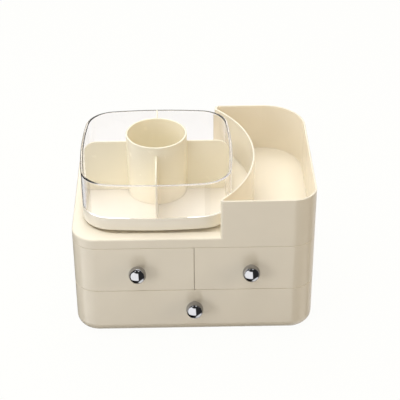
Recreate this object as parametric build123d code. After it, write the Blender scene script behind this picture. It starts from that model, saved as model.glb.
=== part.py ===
from build123d import *
import math
import os

# Make-up organizer: a case with three drawers, a deck with an open bin, and a
# rounded-square turntable with a cup and four divider plates.
# Millimetres. The case is modelled about its own middle, underside at z = 0,
# front facing -Y. Every piece is then moved by `placed` at the end.

# ---------------------------------------------------------------- case outline
case_width = 280.0
case_depth = 223.2
front_radius = 28.3        # upright front corners
back_radius = 50.0         # upright back corners
base_round = 12.0          # rounding along the bottom edge
soft_edge = 0.3            # moulded edges beside the parting lines
half_w = case_width / 2
half_d = case_depth / 2

# ---------------------------------------------------------------- levels
lower_front_top = 61.2
front_gap = 0.5            # between neighbouring drawer fronts
upper_front_height = 59.1
module_gap = 0.4           # between the upper fronts and the top module
deck_height = 12.3
bin_height = 62.0
foot_drop = 1.2            # rubber feet below the underside
upper_front_low = lower_front_top + front_gap
upper_front_top = upper_front_low + upper_front_height
module_low = upper_front_top + module_gap
deck_top = module_low + deck_height
bin_rim = module_low + bin_height

# ---------------------------------------------------------------- walls of the case
shell_wall = 2.4
front_wall = 2.5           # drawer fronts
wrap_depth = 31.0          # how far the fronts wrap round onto the sides
return_gap = 0.4
neck_gap = 0.8             # between a front's inside and the case's stepped-in edge
neck_wall = 2.0
neck_overlap = 4.0         # the neck runs this far back inside the shell
pad_length = 7.6           # ties the neck to the shell
lip_gap = 1.0              # floor of the case behind the lower front's bottom edge
side_zone = 20.0           # width of the strip by each side wall that holds neck and lips
return_end = -half_d + wrap_depth
shell_front = return_end + return_gap
neck_in = front_wall + neck_gap
floor_inset = base_round + 0.5

# ---------------------------------------------------------------- shelf and its ledges
shelf_drop = 0.7           # underside of the shelf below the lower front's top
shelf_thick = 2.0
shelf_gap = 0.3
shelf_setback = 6.0
shelf_shoulder = 8.0       # where the shelf widens behind the necks
ledge_depth = 2.7
ledge_thick = 2.2
ledge_start = 8.6
ledge_stop = 10.0          # ends this far before the back corner's rounding
back_ledge_half = 60.0
back_ledge_depth = 3.2
catch_depth = 1.4
catch_length = 12.0
catch_height = 1.9
catch_spots = (-45.0, 30.0)
catch_gap = 0.1
shelf_low = lower_front_top - shelf_drop
shelf_top = shelf_low + shelf_thick

# ---------------------------------------------------------------- drawer boxes
box_wall = 2.0
box_side_gap = 0.7
box_back_gap = 12.0
box_headroom = 2.3         # above the lower box
upper_headroom = 5.9       # above the upper boxes
box_divider_gap = 1.0
box_back_ease = 17.0       # box's back corners are that much tighter than the case's
box_small_corner = 4.0
box_small_round = 2.5
rim_round = 0.6
slide_gap = 0.35
runner_height = 1.25
runner_width = 3.0
runner_inset = 14.0
runner_front = 12.0
runner_back = 30.0
drawer_travel = 150.0
stop_setback = 0.5         # ridge on the plate below each drawer, behind the floor's front edge
stop_height = 1.0
stop_length = 10.0
stop_thick = 1.5
rib_length = 16.0
rib_thick = 1.6
stop_gap = 0.3
pin_radius = 3.0           # pins that set a front on its box
pin_length = 1.8
pin_spread = 30.0
pin_gap = 0.1
box_half_w = half_w - neck_in - neck_wall - box_side_gap
box_front = -half_d + front_wall
box_back = half_d - box_back_gap
floor_lift = runner_height + slide_gap
lower_box_top = shelf_low - box_headroom
stop_front = -half_d + floor_inset + lip_gap + stop_setback + stop_thick

# ---------------------------------------------------------------- knobs
knob_radius = 10.1
knob_reach = 12.0          # ball centre in front of the drawer front
stem_radius = 4.0
stem_in_ball = 3.2
screw_radius = 2.0
screw_short = 3.0          # the thread ends this far before the ball's centre
screw_head_radius = 3.8
screw_head_height = 2.2
screw_gap = 0.1
knob_from_side = 74.9
upper_knob_rise = 31.1
lower_knob_z = 41.5
upper_knob_x = half_w - knob_from_side
upper_knob_z = upper_front_low + upper_knob_rise

# ---------------------------------------------------------------- turntable
tray_half = 88.8
tray_corner = 35.5
tray_bulge = 510.0         # radius of the bowed sides
tray_left_margin = 9.4     # from the case's left side
turn_y = -9.5
tray_gap = 2.4             # tray above the deck
tray_floor_thick = 1.8
tray_height = 16.7
tray_wall = 3.3
tray_low_round = 2.0
tray_inner_round = 1.5
clear_height = 43.6
clear_inset = 0.1
clear_rim_round = 1.2
seat_inset = 1.5           # rebate in the tray's rim for the clear wall
seat_depth = 5.8
seat_gap = 0.15
turn_x = -half_w + tray_left_margin + tray_half
tray_low = deck_top + tray_gap
tray_floor = tray_low + tray_floor_thick
tray_rim = tray_low + tray_height
clear_rim = tray_rim + clear_height
seat_z = tray_rim - seat_depth

# ---------------------------------------------------------------- cup insert
cup_top_radius = 35.7
cup_low_radius = 34.6
cup_wall = 2.1
cup_height = 76.1
cup_floor = 2.0
cup_floor_round = 3.0
cup_rim_round = 0.7
insert_gap = 0.25
plate_height = 65.2
plate_thick = 1.8
plate_corner = 14.0
plate_foot = 2.5
plate_gap = 0.5
plate_round = 0.5
insert_low = tray_floor + insert_gap
cup_top = insert_low + cup_height
plate_top = insert_low + plate_height
plate_end = tray_half - tray_wall - plate_gap

# ---------------------------------------------------------------- bearing
ball_circle = 50.0
ball_radius = 2.5
ball_count = 16
race_half_width = 6.0
lower_race_thick = 2.6
race_space = 2.4
upper_race_thick = 2.4
groove_gap = 0.05
cage_thick = 1.5
cage_half_width = 3.6
cage_gap = 0.15
well_depth = 7.8
well_wall = 2.0
well_gap = 4.0             # round the races
hub_radius = 9.0
hub_gap = 0.05
hub_boss_wall = 3.0
hub_boss_height = 3.5
pivot_radius = 1.75
pivot_head_radius = 3.6
pivot_head_height = 2.2
washer_thick = 1.0
washer_overlap = 1.0
washer_gap = 0.7
thread_gap = 0.05
race_inner = ball_circle - race_half_width
race_outer = ball_circle + race_half_width
well_radius = race_outer + well_gap
well_top = deck_top - well_depth
well_under = well_top - well_wall
lower_race_top = well_top + lower_race_thick
upper_race_low = lower_race_top + race_space
race_seat = upper_race_low + upper_race_thick
ball_z = (lower_race_top + upper_race_low) / 2
hub_low = well_under - washer_gap
pivot_head_low = hub_low - washer_thick - pivot_head_height

# ---------------------------------------------------------------- bin
bin_wall = 2.3
bin_sole = 2.2
bin_floor_rise = 0.2       # bin floor above the parting line
bin_tip = 4.5              # short left side of the bin, at the front
bin_back_corner = 6.0
bin_tip_corner = 3.6       # upright edge at the front of the short side
bin_tip_round = 1.2
bin_tip_wall = 3.4         # wall of the short side
bin_inner_corner = 1.0
bin_floor_round = 0.9
bin_rim_round = 0.9
sole_gap = 0.3
arc_shift = 38.4           # centre of the concave wall, left of the turntable's
arc_y = -2.6
sweep_clearance = 5.8      # between the turning tray's corners and the concave wall
deck_round = 2.0
recess_inset = 13.6        # lip round the sunken part of the deck
recess_corner = 41.5
recess_depth = 2.0
recess_round = 0.5
recess_floor = deck_top - recess_depth
bin_floor = module_low + bin_floor_rise
bin_under = bin_floor - bin_sole
upper_box_top = min(bin_under, pivot_head_low) - upper_headroom

# ---------------------------------------------------------------- divider
divider_thick = 2.0
divider_setback = 6.5
divider_gap = 0.2
tab_length = 15.0
tab_gap = 0.1
tab_spots = (-52.0, 52.0)
groove_rib_thick = 1.5
groove_rib_gap = 0.25
groove_rib_length = 18.0
groove_rib_reach = 5.9
groove_front = 10.0
groove_back = 32.0
back_rib_gap = 0.15
back_rib_depth = 10.0
divider_top = well_under - 3 * divider_gap

# ---------------------------------------------------------------- fasteners, feet
screw_from_side = 60.0
inner_screw_x = 27.0
case_screw_radius = 1.45
case_screw_length = 7.6
case_screw_head = 3.0
case_screw_sink = 1.5
case_screw_drop = 4.9      # below the parting line
boss_half = 5.0
boss_depth = 6.0
boss_drop = 4.5
boss_gap = 0.2
lip_thick = 1.6
lip_drop = 7.9
lip_rise = 3.0
lip_start = 15.6
lip_stop = 15.0
shoulder_inset = 1.0
foot_radius = 7.0
foot_recess = 0.5
foot_gap = 0.1
front_foot = (36.0, 52.0)  # from the side and from the front
back_foot = (48.0, 44.0)   # from the side and from the back
module_screw_x = (screw_from_side - half_w, -inner_screw_x, inner_screw_x, half_w - screw_from_side)
module_screw_z = module_low - case_screw_drop
foot_spots = [(side * (half_w - inset), y) for side in (-1, 1)
              for inset, y in ((front_foot[0], front_foot[1] - half_d),
                               (back_foot[0], half_d - back_foot[1]))]

joined = 1.0               # how far a joined solid runs into its neighbour
past = 1.0                 # how far a cut runs past the surface it opens
case_middle_y = -(knob_reach + knob_radius) / 2
placed = Location((0, -case_middle_y, foot_drop))


# ---------------------------------------------------------------- helpers
def box(x0, x1, y0, y1, z0, z1):
    size = (x1 - x0, y1 - y0, z1 - z0)
    return Pos((x0 + x1) / 2, (y0 + y1) / 2, (z0 + z1) / 2) * Box(*size)


def both_sides(solid):
    return solid + mirror(solid, about=Plane.YZ)


def rod(x, y, z0, z1, radius):
    return Pos(x, y, (z0 + z1) / 2) * Cylinder(radius, z1 - z0)


def rod_y(x, y0, y1, z, radius):
    return Pos(x, (y0 + y1) / 2, z) * Rot(90, 0, 0) * Cylinder(radius, abs(y1 - y0))


def edges_at(shape, z):
    return shape.edges().filter_by_position(Axis.Z, z - 0.01, z + 0.01)


def cross_slots(x, z, y, size, width, depth):
    """A cross recess in a screw head that faces along Y."""
    slots = Pos(x, y, z) * Box(size, depth, width)
    return slots + Pos(x, y, z) * Box(width, depth, size)


def rounded_plan(x0, x1, y0, y1, front_left, front_right, back_right, back_left):
    """Rectangle with its own radius at each corner."""
    k = 1 - math.sqrt(0.5)
    lines = [
        Line((x0 + front_left, y0), (x1 - front_right, y0)),
        ThreePointArc((x1 - front_right, y0), (x1 - k * front_right, y0 + k * front_right),
                      (x1, y0 + front_right)),
        Line((x1, y0 + front_right), (x1, y1 - back_right)),
        ThreePointArc((x1, y1 - back_right), (x1 - k * back_right, y1 - k * back_right),
                      (x1 - back_right, y1)),
        Line((x1 - back_right, y1), (x0 + back_left, y1)),
        ThreePointArc((x0 + back_left, y1), (x0 + k * back_left, y1 - k * back_left),
                      (x0, y1 - back_left)),
        Line((x0, y1 - back_left), (x0, y0 + front_left)),
        ThreePointArc((x0, y0 + front_left), (x0 + k * front_left, y0 + k * front_left),
                      (x0 + front_left, y0)),
    ]
    return Face(Wire(lines))


def prism(plan, z0, z1):
    return extrude(Pos(0, 0, z0) * plan, amount=z1 - z0, dir=(0, 0, 1))


def case_plan(inset):
    front, back = front_radius - inset, back_radius - inset
    return rounded_plan(-half_w + inset, half_w - inset, -half_d + inset, half_d - inset,
                        front, front, back, back)


def case_block(inset, z0, z1):
    return prism(case_plan(inset), z0, z1)


def case_ring(outer_inset, inner_inset, z0, z1):
    return case_block(outer_inset, z0, z1) - case_block(inner_inset, z0 - past, z1 + past)


def case_form(inset, z1):
    """The case's outside moved inward by inset, with its rounded bottom edge."""
    block = case_block(inset, inset, z1)
    return fillet(block.edges().group_by(Axis.Z)[0], base_round - inset)


def squircle_sizes(inset):
    """Half width, corner radius, and where a corner's arc is centred."""
    half, corner, bulge = tray_half - inset, tray_corner - inset, tray_bulge - inset
    reach = bulge - half
    c = reach ** 2 - (bulge - corner) ** 2
    middle = (-2 * reach + math.sqrt(4 * reach * reach - 8 * c)) / 4
    return half, corner, bulge, reach, middle


def squircle_plan(inset):
    """Square with bowed sides and round corners, all arcs tangent."""
    half, corner, bulge, reach, middle = squircle_sizes(inset)
    turn = math.atan2(middle, middle + reach)
    lines = []
    for k in range(4):
        spin = k * math.pi / 2

        def point(x, y):
            return (turn_x + x * math.cos(spin) - y * math.sin(spin),
                    turn_y + x * math.sin(spin) + y * math.cos(spin))

        low = (-reach + bulge * math.cos(turn), -bulge * math.sin(turn))
        high = (low[0], -low[1])
        diagonal = middle + corner * math.sqrt(0.5)
        lines.append(ThreePointArc(point(*low), point(half, 0), point(*high)))
        lines.append(ThreePointArc(point(*high), point(diagonal, diagonal), point(high[1], high[0])))
    return Face(Wire(lines))


# The concave wall stays clear of the circle that the tray's corners sweep, and the
# bin's left side starts where that wall comes within bin_tip of the front.
sweep_radius = squircle_sizes(0)[4] * math.sqrt(2) + tray_corner
arc_x = turn_x - arc_shift
arc_radius = sweep_radius + math.hypot(arc_shift, arc_y - turn_y) + sweep_clearance
bin_left = arc_x + math.sqrt(arc_radius ** 2 - (half_d - bin_tip + arc_y) ** 2)


# ---------------------------------------------------------------- case
def make_case_shell():
    outer = case_form(0, module_low)
    outer = fillet(outer.edges().group_by(Axis.Z)[-1], soft_edge)
    shell = outer - case_form(shell_wall, module_low + past)
    shell &= box(-half_w, half_w, shell_front, half_d, 0, module_low)
    shell += (case_block(floor_inset + lip_gap, 0, shell_wall)
              & box(-half_w, half_w, -half_d, shell_front + 2 * joined, 0, shell_wall))
    return cut_fastener_holes(shell + shell_front_edge() + shell_ledges() + shell_ribs())


def shell_front_edge():
    """The stepped-in neck behind each front's wrapped end, and its pads."""
    low, high = floor_inset + lip_gap, bin_under - module_gap / 2
    inner = neck_in + neck_wall
    neck = case_ring(neck_in, inner, low, high)
    neck &= box(box_half_w + box_side_gap + 0.1, half_w, -half_d, shell_front + neck_overlap, low, high)
    pad = case_ring(shell_wall / 2, inner, low, high)
    pad &= box(half_w - side_zone, half_w, shell_front, shell_front + pad_length, low, high)
    return both_sides(neck + pad)


def shell_ledges():
    """Ledges the shelf lies on, and catches above it."""
    wall = half_w - shell_wall
    ledge = box(wall - ledge_depth, wall + joined, shell_front + ledge_start,
                half_d - back_radius - ledge_stop, shelf_low - ledge_thick, shelf_low)
    for y in catch_spots:
        ledge += box(wall - catch_depth, wall + joined, y - catch_length / 2, y + catch_length / 2,
                     shelf_top + catch_gap, shelf_top + catch_gap + catch_height)
    back = half_d - shell_wall
    return both_sides(ledge) + box(-back_ledge_half, back_ledge_half, back - back_ledge_depth,
                                   back + joined, shelf_low - ledge_thick, shelf_low)


def shell_ribs():
    """Ribs that hold the divider's back edge, and the lower drawer's stop ridge."""
    inside = divider_thick / 2 + back_rib_gap
    ribs = both_sides(box(inside, inside + groove_rib_thick, half_d - back_rib_depth,
                          half_d - shell_wall + joined, shelf_top + 0.5, module_low - groove_rib_reach))
    return ribs + stop_ridge(0, shell_wall)


def stop_ridge(x, plate_z):
    return box(x - stop_length / 2, x + stop_length / 2, stop_front - stop_thick, stop_front,
               plate_z - 0.5, plate_z + stop_height)


def cut_fastener_holes(shell):
    radius = case_screw_radius + 3 * thread_gap
    for x in module_screw_x:
        shell -= rod_y(x, half_d - shell_wall - past, half_d + past, module_screw_z, radius)
        sink = Cone(case_screw_head + thread_gap, case_screw_radius + thread_gap, case_screw_sink)
        shell -= Pos(x, half_d - case_screw_sink / 2, module_screw_z) * Rot(90, 0, 0) * sink
    for x, y in foot_spots:
        shell -= rod(x, y, -past, foot_recess, foot_radius + foot_gap)
    return shell


def make_mid_shelf():
    shelf = case_block(shell_wall + shelf_gap, shelf_low, shelf_top)
    shelf &= box(-half_w, half_w, shell_front + shelf_shoulder, half_d, shelf_low, shelf_top)
    shelf += case_block(shelf_setback, shelf_low, shelf_top)
    half = divider_thick / 2 + tab_gap
    for y in tab_spots:
        reach = tab_length / 2 + tab_gap
        shelf -= box(-half, half, y - reach, y + reach, shelf_low - past, shelf_top + past)
    for x in (-upper_knob_x, upper_knob_x):
        shelf += stop_ridge(x, shelf_top)
    return shelf


def make_centre_divider():
    half = divider_thick / 2
    panel = box(-half, half, -half_d + divider_setback, half_d - shell_wall - divider_gap,
                shelf_top, divider_top)
    for y in tab_spots:
        panel += box(-half, half, y - tab_length / 2, y + tab_length / 2, shelf_low, shelf_top + joined)
    return panel


def make_rubber_feet():
    return [rod(x, y, -foot_drop, foot_recess, foot_radius) for x, y in foot_spots]


# ---------------------------------------------------------------- drawers
def make_front(x0, x1, z0, z1, knob_x, knob_z):
    """A drawer front: a curved panel that wraps round the case's front corners."""
    panel = case_form(0, z1) & box(x0, x1, -half_d - past, return_end, z0, z1)
    soft = panel.edges().group_by(Axis.Z)[-1]
    if z0 > 0:
        soft += panel.edges().group_by(Axis.Z)[0]
        soft += panel.edges().filter_by(Axis.Z).filter_by_position(Axis.Y, -half_d - 0.01, -half_d + 0.01)
        soft = [edge for edge in soft if not is_tangent_seam(edge)]
    panel = fillet(soft, soft_edge)
    panel -= case_form(front_wall, z1 + past)
    panel -= case_block(floor_inset, -past, front_wall + 0.2)
    panel -= rod_y(knob_x, -half_d - past, box_front + past, knob_z, screw_radius + screw_gap)
    for side in (-1, 1):
        panel += rod_y(knob_x + side * pin_spread, box_front - 0.5, box_front + pin_length,
                       knob_z, pin_radius)
    return panel


def is_tangent_seam(edge):
    """The upright line where the flat front runs into a rounded corner."""
    middle = edge.center()
    upright = abs(edge.tangent_at(0.5).Z) > 0.9
    return upright and abs(abs(middle.X) - (half_w - front_radius)) < 0.01


def make_box(x0, x1, plate_z, z1, radii, edge_round, knob_x, knob_z):
    """An open drawer box with runners under it and a stop rib at the back."""
    low = plate_z + floor_lift
    outer = prism(rounded_plan(x0, x1, box_front, box_back, *radii), low, z1)
    outer = fillet(outer.edges().group_by(Axis.Z)[0], edge_round)
    inner_round = edge_round - 0.5
    inner_radii = [max(radius - box_wall, inner_round + 0.6) for radius in radii]
    inner = prism(rounded_plan(x0 + box_wall, x1 - box_wall, box_front + box_wall,
                               box_back - box_wall, *inner_radii), low + box_wall, z1 + past)
    inner = fillet(inner.edges().group_by(Axis.Z)[0], inner_round)
    body = outer - inner
    body = fillet(edges_at(body, z1), rim_round)
    under = plate_z + slide_gap
    for x in (x0 + runner_inset, x1 - runner_inset):
        body += box(x - runner_width / 2, x + runner_width / 2, box_front + runner_front,
                    box_back - runner_back, under, low + joined / 2)
    rib_y = stop_front + drawer_travel + stop_gap
    body += box(knob_x - rib_length / 2, knob_x + rib_length / 2, rib_y, rib_y + rib_thick,
                under + 0.1, low + joined / 2)
    deep = box_front + box_wall + past
    body -= rod_y(knob_x, box_front - past, deep, knob_z, screw_radius + screw_gap)
    for side in (-1, 1):
        body -= rod_y(knob_x + side * pin_spread, box_front - past, deep, knob_z, pin_radius + pin_gap)
    return body


def make_knob(x, z):
    face = -half_d
    knob = Pos(x, face - knob_reach, z) * Sphere(knob_radius)
    knob += rod_y(x, face - (knob_reach - knob_radius + stem_in_ball), face, z, stem_radius)
    knob -= rod_y(x, face - (knob_reach - screw_short + 0.5), face + past, z, screw_radius + thread_gap)
    return knob


def make_knob_screw(x, z):
    seat = box_front + box_wall
    end = seat + screw_head_height
    screw = rod_y(x, -half_d - (knob_reach - screw_short), seat + joined / 2, z, screw_radius)
    head = rod_y(x, seat, end, z, screw_head_radius)
    screw += fillet(head.edges().group_by(Axis.Y)[-1], 1.0)
    return screw - cross_slots(x, z, end, 1.1 * screw_head_radius, 0.9, 2.0)


# ---------------------------------------------------------------- top module
def bin_plan(inset, left, radius, back_corner, small_corner, tip_corner):
    """The bin's outline: the case's right end with the turntable's circle taken out."""
    plan = Sketch() + case_plan(inset)
    plan &= Pos(left + half_w, 0) * Rectangle(case_width, 2 * case_depth)
    plan -= Pos(arc_x, arc_y) * Circle(radius)
    corners = plan.vertices().filter_by_position(Axis.X, left - 0.01, left + 0.01).sort_by(Axis.Y)
    for corner, size in zip(corners, (tip_corner, small_corner, small_corner, back_corner)):
        plan = fillet(plan.vertices().sort_by_distance(corner)[0], size)
    return plan


def make_top_module():
    deck = case_block(0, module_low, deck_top) - recess_block(0, recess_floor, deck_top + past)
    deck = fillet(deck.faces().sort_by(Axis.Z)[-1].outer_wire().edges(), deck_round)
    deck = fillet(deck.faces().sort_by(Axis.Z)[-1].inner_wires()[0].edges(), recess_round)
    deck = fillet(deck.edges().group_by(Axis.Z)[0], soft_edge)
    outline = bin_plan(0, bin_left, arc_radius, bin_back_corner, bin_tip_round, bin_tip_corner)
    hollow = case_block(shell_wall, module_low - past, deck_top - shell_wall)
    hollow -= prism(outline, module_low - 2 * past, deck_top)
    hollow -= recess_block(-shell_wall, recess_floor - shell_wall, deck_top)
    tub = prism(outline, deck_top - deck_round - joined, bin_rim)
    sole = prism(bin_plan(front_wall + sole_gap, bin_left + bin_tip_wall / 2, arc_radius,
                          bin_back_corner - front_wall, bin_tip_round, bin_tip_round),
                 bin_under, bin_floor + joined)
    module = deck + tub - hollow + sole + bearing_well() + module_lips() + module_bosses()
    inside = bin_plan(bin_wall, bin_left + bin_tip_wall, arc_radius + bin_wall,
                      bin_back_corner - bin_wall, bin_tip_round, bin_inner_corner)
    cavity = prism(inside, bin_floor, bin_rim + past)
    module -= fillet(cavity.edges().group_by(Axis.Z)[0], bin_floor_round)
    module -= rod(turn_x, turn_y, well_top, deck_top + past, well_radius) - hub_boss()
    module -= rod(turn_x, turn_y, well_under - past, deck_top, hub_radius + hub_gap)
    for x in module_screw_x:
        module -= rod_y(x, half_d - shell_wall - boss_depth, half_d - joined, module_screw_z,
                        case_screw_radius + thread_gap)
    return fillet(edges_at(module, bin_rim), bin_rim_round)


def recess_block(inset, z0, z1):
    """The sunken part of the deck, moved inward by inset; the bin stands over its right end."""
    side, corner = recess_inset + inset, recess_corner - inset
    right = arc_x + arc_radius + bin_wall / 2
    return prism(rounded_plan(-half_w + side, right, -half_d + side, half_d - side,
                              corner, bin_back_corner, bin_back_corner, corner), z0, z1)


def hub_boss():
    return rod(turn_x, turn_y, well_under, well_top + hub_boss_height, hub_radius + hub_boss_wall)


def bearing_well():
    return rod(turn_x, turn_y, well_under, recess_floor - shell_wall / 2, well_radius + well_wall)


def module_lips():
    """Lips that drop inside the case's side walls, each on a shoulder, and the divider's grooves."""
    inner = shell_wall + shelf_gap
    high = module_low + lip_rise
    lip = case_ring(inner, inner + lip_thick, module_low - lip_drop, high)
    lip += case_ring(shoulder_inset, inner + lip_thick, module_low, high)
    lip &= box(half_w - side_zone, half_w, shell_front + lip_start,
               half_d - back_radius - lip_stop, module_low - lip_drop, high)
    x = divider_thick / 2 + groove_rib_gap
    for y in (-half_d + groove_front, half_d - groove_back):
        lip += box(x, x + groove_rib_thick, y, y + groove_rib_length,
                   divider_top - groove_rib_reach, recess_floor - shell_wall / 2)
    return both_sides(lip)


def module_bosses():
    """Screw bosses behind the case's back wall."""
    back = half_d - shell_wall - boss_gap
    bosses = []
    for x in module_screw_x:
        bosses.append(box(x - boss_half, x + boss_half, back - boss_depth, back,
                          module_screw_z - boss_drop, module_low + lip_rise))
        bosses.append(box(x - boss_half, x + boss_half, back - boss_depth, half_d - joined,
                          module_low, module_low + lip_rise))
    return bosses


def make_module_screws():
    screws = []
    for x in module_screw_x:
        shank = rod_y(x, half_d - case_screw_length, half_d - case_screw_sink + 0.1,
                      module_screw_z, case_screw_radius)
        head = Cone(case_screw_head, case_screw_radius, case_screw_sink)
        screw = shank + Pos(x, half_d - case_screw_sink / 2, module_screw_z) * Rot(90, 0, 0) * head
        size = 1.07 * case_screw_head
        screws.append(screw - cross_slots(x, module_screw_z, half_d, size, 0.7, 1.4))
    return screws


# ---------------------------------------------------------------- turntable
def race(z0, z1):
    ring = rod(turn_x, turn_y, z0, z1, race_outer) - rod(turn_x, turn_y, z0 - past, z1 + past, race_inner)
    return ring - Pos(turn_x, turn_y, ball_z) * Torus(ball_circle, ball_radius + groove_gap)


def ball_spots():
    for k in range(ball_count):
        angle = 2 * math.pi * k / ball_count
        yield turn_x + ball_circle * math.cos(angle), turn_y + ball_circle * math.sin(angle)


def make_ball_cage():
    low, high = ball_z - cage_thick / 2, ball_z + cage_thick / 2
    cage = rod(turn_x, turn_y, low, high, ball_circle + cage_half_width)
    cage -= rod(turn_x, turn_y, low - past, high + past, ball_circle - cage_half_width)
    for x, y in ball_spots():
        cage -= rod(x, y, low - past, high + past, ball_radius + cage_gap)
    return cage


def make_bearing_balls():
    return [Pos(x, y, ball_z) * Sphere(ball_radius) for x, y in ball_spots()]


def make_turntable_base():
    tray = prism(squircle_plan(0), tray_low, tray_rim)
    tray = fillet(tray.edges().group_by(Axis.Z)[0], tray_low_round)
    tray = fillet(tray.edges().group_by(Axis.Z)[-1], soft_edge)
    inside = prism(squircle_plan(tray_wall), tray_floor, tray_rim + past)
    tray -= fillet(inside.edges().group_by(Axis.Z)[0], tray_inner_round)
    tray -= prism(squircle_plan(seat_inset), seat_z, tray_rim + past)
    middle = tray_low + tray_floor_thick / 2
    tray += (rod(turn_x, turn_y, race_seat, middle, race_outer)
             - rod(turn_x, turn_y, race_seat - past, middle + past, race_inner))
    tray += rod(turn_x, turn_y, hub_low, middle, hub_radius)
    return tray - rod(turn_x, turn_y, hub_low - past, pivot_top(), pivot_radius + thread_gap)


def pivot_top():
    """Blind end of the screw hole in the hub."""
    return tray_low - 1.2


def make_clear_wall():
    wall = prism(squircle_plan(clear_inset), tray_rim + 0.1, clear_rim)
    wall += prism(squircle_plan(seat_inset + seat_gap), seat_z, tray_rim + joined)
    wall -= prism(squircle_plan(tray_wall), seat_z - past, clear_rim + past)
    return fillet(wall.edges().group_by(Axis.Z)[-1], clear_rim_round)


def make_pivot_washer():
    low, bore = hub_low - washer_thick, pivot_radius + 5 * thread_gap
    washer = rod(turn_x, turn_y, low, hub_low, hub_radius + hub_boss_wall + washer_overlap)
    return washer - rod(turn_x, turn_y, low - past, hub_low + past, bore)


def make_pivot_screw():
    seat = hub_low - washer_thick
    screw = rod(turn_x, turn_y, seat - 0.5, pivot_top() - 0.8, pivot_radius)
    head = rod(turn_x, turn_y, pivot_head_low, seat, pivot_head_radius)
    screw += fillet(head.edges().group_by(Axis.Z)[0], 0.9)
    size = 1.1 * pivot_head_radius
    for turn in (0, 90):
        screw -= Pos(turn_x, turn_y, pivot_head_low) * Rot(0, 0, turn) * Box(size, 0.9, 2.0)
    return screw


def divider_plate():
    """One plate of the insert, standing along +X from the cup's middle."""
    half = plate_thick / 2
    plate = box(0, plate_end, -half, half, insert_low, plate_top)
    ends = plate.edges().filter_by(Axis.Y).sort_by(Axis.X)[-2:].sort_by(Axis.Z)
    plate = fillet(ends[1], plate_corner)
    plate = chamfer(plate.edges().filter_by(Axis.Y).sort_by(Axis.Z)[:2].sort_by(Axis.X)[-1], plate_foot)
    rims = [edge for face in plate.faces().filter_by(Axis.Y) for edge in face.edges()
            if edge.center().Z > insert_low + plate_foot and edge.center().X > 1]
    return fillet(rims, plate_round)


def make_cup_insert():
    slope = (cup_top_radius - cup_low_radius) / cup_height
    cup = Pos(turn_x, turn_y, insert_low + cup_height / 2) * Cone(cup_low_radius, cup_top_radius, cup_height)
    for turn in range(4):
        cup += Pos(turn_x, turn_y, 0) * Rot(0, 0, 90 * turn) * divider_plate()
    depth = cup_height + past - cup_floor
    low_in = cup_low_radius - cup_wall
    bore = Cone(low_in, low_in + slope * depth, depth)
    bore = fillet(bore.edges().group_by(Axis.Z)[0], cup_floor_round)
    cup -= Pos(turn_x, turn_y, insert_low + cup_floor + depth / 2) * bore
    return fillet(edges_at(cup, cup_top), cup_rim_round)


# ---------------------------------------------------------------- all pieces
pieces = {
    "case_shell": make_case_shell(),
    "mid_shelf": make_mid_shelf(),
    "centre_divider": make_centre_divider(),
    "rubber_feet": make_rubber_feet(),
    "top_module": make_top_module(),
    "module_screws": make_module_screws(),
    "lower_race": race(well_top, lower_race_top),
    "ball_cage": make_ball_cage(),
    "bearing_balls": make_bearing_balls(),
    "upper_race": race(upper_race_low, race_seat),
    "turntable_base": make_turntable_base(),
    "clear_wall": make_clear_wall(),
    "pivot_washer": make_pivot_washer(),
    "pivot_screw": make_pivot_screw(),
    "cup_insert": make_cup_insert(),
}

box_front_radius = front_radius - (half_w - box_half_w)
box_back_radius = back_radius - box_back_ease
box_middle = divider_thick / 2 + box_divider_gap
small = box_small_corner
drawers = {
    "lower": (-half_w, half_w, 0.0, lower_front_top, -box_half_w, box_half_w, shell_wall,
              lower_box_top, (box_front_radius, box_front_radius, box_back_radius, box_back_radius),
              base_round - shell_wall - floor_lift, 0.0, lower_knob_z),
    "upper_left": (-half_w, -front_gap / 2, upper_front_low, upper_front_top, -box_half_w, -box_middle,
                   shelf_top, upper_box_top, (box_front_radius, small, small, box_back_radius),
                   box_small_round, -upper_knob_x, upper_knob_z),
    "upper_right": (front_gap / 2, half_w, upper_front_low, upper_front_top, box_middle, box_half_w,
                    shelf_top, upper_box_top, (small, box_front_radius, box_back_radius, small),
                    box_small_round, upper_knob_x, upper_knob_z),
}
for name, (fx0, fx1, fz0, fz1, bx0, bx1, plate_z, box_top, radii, edge, kx, kz) in drawers.items():
    pieces[name + "_front"] = make_front(fx0, fx1, fz0, fz1, kx, kz)
    pieces[name + "_box"] = make_box(bx0, bx1, plate_z, box_top, radii, edge, kx, kz)
    pieces[name + "_knob"] = make_knob(kx, kz)
    pieces[name + "_knob_screw"] = make_knob_screw(kx, kz)

os.makedirs("parts", exist_ok=True)
for name, piece in pieces.items():
    solids = piece if isinstance(piece, list) else piece.solids()
    moved = [placed * solid for solid in solids]
    shape = moved[0] if len(moved) == 1 else Compound(children=moved)
    export_step(shape, "parts/" + name + ".step")
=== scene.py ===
"""Looks of the make-up organizer: finishes, floor, studio light and camera.

Metres, in the frame of the CAD model: +X right, front facing -Y, +Z up, floor at z = 0.
"""
import math

import bpy
from mathutils import Matrix, Vector

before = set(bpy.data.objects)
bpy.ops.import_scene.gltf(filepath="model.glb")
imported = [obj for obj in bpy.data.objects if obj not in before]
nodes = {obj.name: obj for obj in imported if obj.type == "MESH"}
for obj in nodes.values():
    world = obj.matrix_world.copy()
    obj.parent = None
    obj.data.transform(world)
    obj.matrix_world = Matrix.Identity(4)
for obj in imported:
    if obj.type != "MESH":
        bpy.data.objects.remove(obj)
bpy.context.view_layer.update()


def srgb(red, green, blue):
    """A colour written as 0-255 screen values, as the linear RGBA that shaders take."""
    def linear(value):
        value /= 255
        return value / 12.92 if value <= 0.04045 else ((value + 0.055) / 1.055) ** 2.4
    return (linear(red), linear(green), linear(blue), 1.0)


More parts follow.
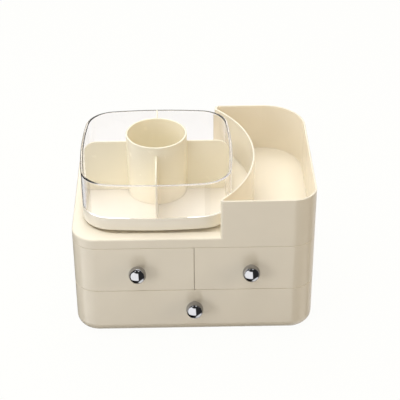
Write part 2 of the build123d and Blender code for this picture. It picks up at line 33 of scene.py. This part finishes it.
# ---------------------------------------------------------------- camera values
CAMERA_PLACE = Vector((-0.01347, -1.25494, 0.93364))
CAMERA_YAW = 0.01777         # towards +X
CAMERA_PITCH = 0.57402       # downwards
CAMERA_ROLL = -0.00554
SENSOR = 36.0
LENS = 111.63
CLIP_START, CLIP_END = 0.05, 20

# ---------------------------------------------------------------- colours
CREAM = srgb(249, 240, 221)
# Painted light: the cup insert is the same cream plastic, made lighter to stand in for the
# light that bounces and shines through inside it.
INSERT_CREAM_PAINTED_BRIGHT = srgb(254, 246, 224)
# Painted light: the tray is the same cream plastic, made lighter to stand in for the bright
# light on its floor.
TRAY_CREAM_PAINTED_BRIGHT = srgb(251, 245, 231)
BOX_CREAM = srgb(244, 235, 214)
ACETAL = srgb(226, 224, 218)
RUBBER = srgb(66, 64, 62)
CHROME = (0.38, 0.38, 0.393, 1.0)
STEEL = (0.55, 0.55, 0.56, 1.0)
BACKDROP = srgb(255, 255, 253)

# ---------------------------------------------------------------- clear plastic
PLASTIC_IOR = 1.49
CLEAR_TINT = (0.975, 0.96, 0.97, 1.0)
CLEAR_DEPTH_TINT = (0.72, 0.70, 0.72, 1.0)
CLEAR_DENSITY = 2.5          # per metre
# Painted glow of the clear wall: its colour, strength, the bounces where it starts, and where
# it is painted dark (left, back) and dim (foot).
PAINTED_GLOW_COLOUR = (1.0, 0.97, 0.92, 1.0)
PAINTED_GLOW = 0.55
PAINTED_GLOW_BOUNCES = (4.5, 5.5)
PAINTED_DARK_LEFT = (-0.122, -0.110)
PAINTED_DARK_BACK, PAINTED_BACK_GLOW = (0.04, 0.075), 0.10
PAINTED_DIM_FOOT, PAINTED_FOOT_GLOW = (0.156, 0.160), 0.3

# ---------------------------------------------------------------- floor and ambient light
FLOOR_SIZE = 3.0
FLOOR_PAPER = (0.40, 0.39, 0.375, 1.0)
FLOOR_GLOW = 1.04
FLOOR_GLOW_SHARE = 0.93      # the rest is the shadow that the camera still sees
AMBIENT = 0.26
AMBIENT_TINT = (1.06, 0.975, 0.87, 1.0)

# ---------------------------------------------------------------- what metal and gloss mirror
STUDIO_DARK = 0.07           # towards the camera
STUDIO_DARK_LEFT = 0.06      # share of the light that is left there
SOFTBOX_GLOW = 2.6
SPOT_GLOW = 2.4
OVERHEAD_SPOTS = ((-0.39, 0.0, 0.92), (0.28, -0.02, 0.96))
LOW_PATCH, LOW_PATCH_GLOW = (0.5, -0.1, -0.86), 1.9

# name, place, height of the point aimed at, width, height, watts, colour
LAMPS = (
    ("overhead", (-0.2, 0.08, 1.35), 0.1, 1.4, 1.4, 10.2, (0.95, 1.0, 1.05)),
    ("key", (-0.85, -0.95, 0.45), 0.12, 0.4, 0.55, 3.0, (1, 1, 1)),
    ("high", (-0.3, -0.8, 1.2), 0.1, 0.9, 0.9, 1.7, (1, 1, 1)),
    ("back", (0.1, 0.8, 1.2), 0.1, 1.0, 0.8, 5.6, (1, 1, 1)),
    ("left", (-1.2, 0.1, 0.75), 0.1, 0.8, 0.8, 3.4, (1, 1, 1)),
    ("fill", (1.1, -0.5, 0.6), 0.1, 0.8, 0.8, 3.4, (1.0, 0.86, 0.66)),
)


# ---------------------------------------------------------------- shader helpers
class Graph:
    """A node tree, with short calls for the few nodes used here."""

    def __init__(self, tree):
        self.tree = tree

    def node(self, kind, **settings):
        made = self.tree.nodes.new("ShaderNode" + kind)
        for key, value in settings.items():
            setattr(made, key, value)
        return made

    def link(self, out, into):
        self.tree.links.new(out, into)

    def math(self, operation, first, second):
        """An operation on two values, each an output or a number."""
        made = self.node("Math", operation=operation)
        for socket, value in zip(made.inputs, (first, second)):
            if isinstance(value, (int, float)):
                socket.default_value = value
            else:
                self.link(value, socket)
        return made.outputs[0]

    def along(self, vector, axis):
        """How far a vector reaches along an axis."""
        made = self.node("VectorMath", operation="DOT_PRODUCT")
        made.inputs[1].default_value = axis
        self.link(vector, made.inputs[0])
        return made.outputs["Value"]

    def spread(self, value, low, high, start=0.3, stop=0.7, curve="LINEAR"):
        """Maps start..stop of a value onto low..high."""
        made = self.node("MapRange", interpolation_type=curve)
        for key, number in (("From Min", start), ("From Max", stop),
                            ("To Min", low), ("To Max", high)):
            made.inputs[key].default_value = number
        self.link(value, made.inputs["Value"])
        return made.outputs["Result"]

    def ramp(self, value, start, stop, low=0.0, high=1.0):
        """Maps start..stop of a value smoothly onto low..high."""
        return self.spread(value, low, high, start, stop, "SMOOTHSTEP")

    def mix_shader(self, share, first, second):
        made = self.node("MixShader")
        self.link(share, made.inputs["Fac"])
        self.link(first, made.inputs[1])
        self.link(second, made.inputs[2])
        return made.outputs[0]


class Shader(Graph):
    """A material's nodes."""

    def __init__(self, name):
        self.material = bpy.data.materials.new(name)
        self.material.use_nodes = True
        super().__init__(self.material.node_tree)
        self.surface = self.tree.nodes["Principled BSDF"]
        self.output = self.tree.nodes["Material Output"]
        self.place = self.node("TexCoord").outputs["Object"]

    def set(self, socket, value):
        self.surface.inputs[socket].default_value = value

    def drive(self, socket, out):
        self.link(out, self.surface.inputs[socket])

    def noise(self, size, detail=2.0, seed=0.0):
        """Noise with features of about size metres."""
        made = self.node("TexNoise", noise_dimensions="4D")
        made.inputs["W"].default_value = seed
        made.inputs["Scale"].default_value = 1 / size
        made.inputs["Detail"].default_value = detail
        self.link(self.place, made.inputs["Vector"])
        return made.outputs["Fac"]

    def tint(self, value, first, second):
        made = self.node("Mix", data_type="RGBA")
        made.inputs["A"].default_value = first
        made.inputs["B"].default_value = second
        self.link(value, made.inputs["Factor"])
        return made.outputs["Result"]

    def bump(self, height, depth, strength=1.0, normal=None):
        """A normal roughened by height, depth metres deep."""
        made = self.node("Bump")
        made.inputs["Distance"].default_value = depth
        made.inputs["Strength"].default_value = strength
        self.link(height, made.inputs["Height"])
        if normal:
            self.link(normal, made.inputs["Normal"])
        return made.outputs["Normal"]


def shade(colour, factor):
    return (colour[0] * factor, colour[1] * factor, colour[2] * factor, 1.0)


def moulded_plastic(name, colour, rough, seed=0.0, grain=0.00001):
    """Injection-moulded plastic: faint flow clouding, fine surface grain, uneven gloss."""
    s = Shader(name)
    cloud = s.spread(s.noise(0.035, 2.0, seed), 0.0, 1.0)
    s.drive("Base Color", s.tint(cloud, shade(colour, 0.985), shade(colour, 1.01)))
    s.drive("Roughness", s.spread(s.noise(0.012, 3.0, seed + 4), rough - 0.03, rough + 0.04))
    fine = s.bump(s.noise(0.0006, 2.0, seed + 8), grain)
    s.drive("Normal", s.bump(s.noise(0.02, 1.0, seed + 12), 0.00005, 0.6, fine))
    s.set("IOR", PLASTIC_IOR)
    return s.material


def painted_wall_glow(s):
    """A painted glow in the clear wall, standing in for light that has bounced in it for long:
    pale, dimmer at the foot, and painted dark at the left and the back."""
    bounces = s.node("LightPath").outputs["Ray Depth"]
    place = s.node("NewGeometry").outputs["Position"]
    share = s.math("MULTIPLY", s.ramp(s.along(place, (1, 0, 0)), *PAINTED_DARK_LEFT),
                   s.ramp(s.along(place, (0, 1, 0)), *PAINTED_DARK_BACK, 1.0, PAINTED_BACK_GLOW))
    share = s.math("MULTIPLY", share,
                   s.ramp(s.along(place, (0, 0, 1)), *PAINTED_DIM_FOOT, PAINTED_FOOT_GLOW, 1.0))
    return s.math("MULTIPLY", s.ramp(bounces, *PAINTED_GLOW_BOUNCES, 0.0, PAINTED_GLOW), share)


def clear_plastic(name):
    """Clear moulded plastic, a little clouded by handling."""
    s = Shader(name)
    s.set("Base Color", CLEAR_TINT)
    s.set("Transmission Weight", 1.0)
    s.set("IOR", PLASTIC_IOR)
    # Painted glow: this emission stands in for light trapped in the wall.
    s.set("Emission Color", PAINTED_GLOW_COLOUR)
    s.drive("Emission Strength", painted_wall_glow(s))
    depth = s.node("VolumeAbsorption")
    depth.inputs["Color"].default_value = CLEAR_DEPTH_TINT
    depth.inputs["Density"].default_value = CLEAR_DENSITY
    s.link(depth.outputs[0], s.output.inputs["Volume"])
    s.drive("Roughness", s.spread(s.noise(0.02, 3.0, 2.0), 0.0, 0.03))
    s.drive("Normal", s.bump(s.noise(0.03, 1.0, 5.0), 0.00004, 0.4))
    return s.material


def metal(name, colour, rough, swirl=0.0, seed=0.0):
    """Plated metal with faint polishing haze."""
    s = Shader(name)
    haze = s.spread(s.noise(0.004, 4.0, seed), 0.0, 1.0)
    s.drive("Base Color", s.tint(haze, shade(colour, 0.94), colour))
    s.set("Metallic", 1.0)
    s.drive("Roughness", s.spread(s.noise(0.003, 3.0, seed + 3), rough, rough + 0.05))
    if swirl:
        s.drive("Normal", s.bump(s.noise(0.0004, 2.0, seed + 6), swirl))
    return s.material


def rubber(name, colour):
    s = Shader(name)
    dust = s.spread(s.noise(0.002, 4.0), 0.0, 1.0)
    s.drive("Base Color", s.tint(dust, shade(colour, 0.85), shade(colour, 1.15)))
    s.set("Roughness", 0.75)
    s.drive("Normal", s.bump(s.noise(0.0005, 3.0, 2.0), 0.00003))
    return s.material


# ---------------------------------------------------------------- finishes
finishes = {
    "case": moulded_plastic("case_plastic", CREAM, 0.22, 1.0),
    "front": moulded_plastic("front_plastic", CREAM, 0.20, 2.0),
    "top": moulded_plastic("top_plastic", CREAM, 0.22, 3.0),
    "tray": moulded_plastic("tray_plastic", TRAY_CREAM_PAINTED_BRIGHT, 0.22, 4.0),
    "insert": moulded_plastic("insert_plastic", INSERT_CREAM_PAINTED_BRIGHT, 0.24, 5.0),
    "box": moulded_plastic("box_plastic", BOX_CREAM, 0.38, 6.0, 0.00003),
    "clear": clear_plastic("clear_plastic"),
    "chrome": metal("chrome", CHROME, 0.02),
    "steel": metal("zinc_steel", STEEL, 0.28, 0.00001, 7.0),
    "acetal": moulded_plastic("bearing_plastic", ACETAL, 0.45, 9.0),
    "rubber": rubber("foot_rubber", RUBBER),
}
finish_of = {
    "case_shell": "case", "mid_shelf": "box", "centre_divider": "box",
    "rubber_feet": "rubber", "top_module": "top", "module_screws": "steel",
    "lower_race": "acetal", "ball_cage": "acetal", "bearing_balls": "steel",
    "upper_race": "acetal", "turntable_base": "tray", "clear_wall": "clear",
    "pivot_washer": "steel", "pivot_screw": "steel", "cup_insert": "insert",
}
for drawer in ("lower", "upper_left", "upper_right"):
    finish_of[drawer + "_front"] = "front"
    finish_of[drawer + "_box"] = "box"
    finish_of[drawer + "_knob"] = "chrome"
    finish_of[drawer + "_knob_screw"] = "steel"
for name, piece in nodes.items():
    piece.data.materials.clear()
    piece.data.materials.append(finishes[finish_of[name]])


# ---------------------------------------------------------------- floor and studio
def make_floor():
    """A pale floor. The camera sees it white, with the object's shadow left in faintly."""
    size = FLOOR_SIZE
    mesh = bpy.data.meshes.new("floor")
    corners = [(-size, -size, 0), (size, -size, 0), (size, size, 0), (-size, size, 0)]
    mesh.from_pydata(corners, [], [(0, 1, 2, 3)])
    floor = bpy.data.objects.new("floor", mesh)
    bpy.context.scene.collection.objects.link(floor)
    s = Shader("floor_paper")
    s.set("Base Color", FLOOR_PAPER)
    s.set("Roughness", 0.9)
    glow = s.node("Emission")
    glow.inputs["Color"].default_value = BACKDROP
    glow.inputs["Strength"].default_value = FLOOR_GLOW
    path = s.node("LightPath")
    seen = s.math("MAXIMUM", path.outputs["Is Camera Ray"], path.outputs["Is Transmission Ray"])
    share = s.math("MULTIPLY", seen, FLOOR_GLOW_SHARE)
    lit = s.mix_shader(share, s.surface.outputs[0], glow.outputs[0])
    s.link(lit, s.output.inputs["Surface"])
    mesh.materials.append(s.material)
    floor.visible_glossy = False


def mirrored_studio(g):
    """How bright the studio is in each direction, for what mirrors it: a white backdrop behind,
    dark towards the camera and the left, a tall softbox at front left, two spots overhead and a
    pale patch below at the right."""
    way = g.node("TexCoord").outputs["Generated"]
    high = g.along(way, (0, 0, 1))
    left = g.ramp(g.along(way, (-1, 0, 0)), 0.10, 0.20, 1.0, STUDIO_DARK_LEFT)
    behind = g.ramp(g.along(way, (0, 1, 0)), 0.1, 0.45, STUDIO_DARK, 1.0)
    glow = g.math("MULTIPLY", behind, left)

    top_edge = g.ramp(high, 0.74, 0.86, SOFTBOX_GLOW, 0.0)
    low_edge = g.ramp(high, -0.75, -0.60)
    right_edge = g.ramp(g.along(way, (0.95, 0.1, 0)), 0.1, 0.2, 1.0, 0.0)
    left_edge = g.ramp(g.along(way, (-0.4, -0.92, 0)), 0.30, 0.42)
    tall = g.math("MULTIPLY", g.math("MULTIPLY", top_edge, low_edge),
                  g.math("MULTIPLY", right_edge, left_edge))
    glow = g.math("MAXIMUM", glow, tall)

    for spot in OVERHEAD_SPOTS:
        patch = g.ramp(g.along(way, spot), 0.990, 0.996, 0.0, SPOT_GLOW)
        glow = g.math("MAXIMUM", glow, patch)
    patch = g.ramp(g.along(way, LOW_PATCH), 0.88, 0.94, 0.0, LOW_PATCH_GLOW)
    return g.math("MAXIMUM", glow, patch)


def make_world():
    """Soft ambient light for the object, the studio for glossy rays, and a white backdrop for
    the camera and for what is seen through the clear wall."""
    world = bpy.data.worlds.new("studio")
    bpy.context.scene.world = world
    world.use_nodes = True
    g = Graph(world.node_tree)
    ambient = g.tree.nodes["Background"]
    ambient.inputs["Color"].default_value = AMBIENT_TINT
    ambient.inputs["Strength"].default_value = AMBIENT
    mirrored = g.node("Background")
    g.link(mirrored_studio(g), mirrored.inputs["Strength"])
    backdrop = g.node("Background")
    backdrop.inputs["Color"].default_value = BACKDROP
    path = g.node("LightPath")
    lit = ambient.outputs[0]
    for ray, seen in (("Glossy", mirrored), ("Transmission", backdrop), ("Camera", backdrop)):
        lit = g.mix_shader(path.outputs["Is %s Ray" % ray], lit, seen.outputs[0])
    g.link(lit, g.tree.nodes["World Output"].inputs["Surface"])


def softbox(name, place, aim_height, width, height, power, colour):
    """A rectangular lamp that faces the object and isn't seen itself."""
    lamp = bpy.data.lights.new(name, "AREA")
    lamp.shape = "RECTANGLE"
    lamp.size, lamp.size_y = width, height
    lamp.energy = power
    lamp.color = colour
    holder = bpy.data.objects.new(name, lamp)
    bpy.context.scene.collection.objects.link(holder)
    holder.location = place
    facing = Vector((0, 0, aim_height)) - Vector(place)
    holder.rotation_euler = facing.to_track_quat("-Z", "Y").to_euler()
    holder.visible_camera = holder.visible_glossy = False


def make_camera():
    cos, sin = math.cos, math.sin
    ahead = Vector((sin(CAMERA_YAW) * cos(CAMERA_PITCH), cos(CAMERA_YAW) * cos(CAMERA_PITCH),
                    -sin(CAMERA_PITCH)))
    right = Vector((cos(CAMERA_YAW), -sin(CAMERA_YAW), 0))
    up = right.cross(ahead)
    right, up = (cos(CAMERA_ROLL) * right + sin(CAMERA_ROLL) * up,
                 cos(CAMERA_ROLL) * up - sin(CAMERA_ROLL) * right)
    lens = bpy.data.cameras.new("camera")
    lens.sensor_fit = "HORIZONTAL"
    lens.sensor_width = SENSOR
    lens.lens = LENS
    lens.clip_start, lens.clip_end = CLIP_START, CLIP_END
    camera = bpy.data.objects.new("camera", lens)
    bpy.context.scene.collection.objects.link(camera)
    turn = Matrix((right, up, -ahead)).transposed().to_4x4()
    camera.matrix_world = Matrix.Translation(CAMERA_PLACE) @ turn
    bpy.context.scene.camera = camera


make_floor()
make_world()
for values in LAMPS:
    softbox(*values)
nodes["clear_wall"].visible_shadow = False
nodes["clear_wall"].visible_diffuse = False
make_camera()
bpy.context.scene.view_settings.view_transform = "Standard"
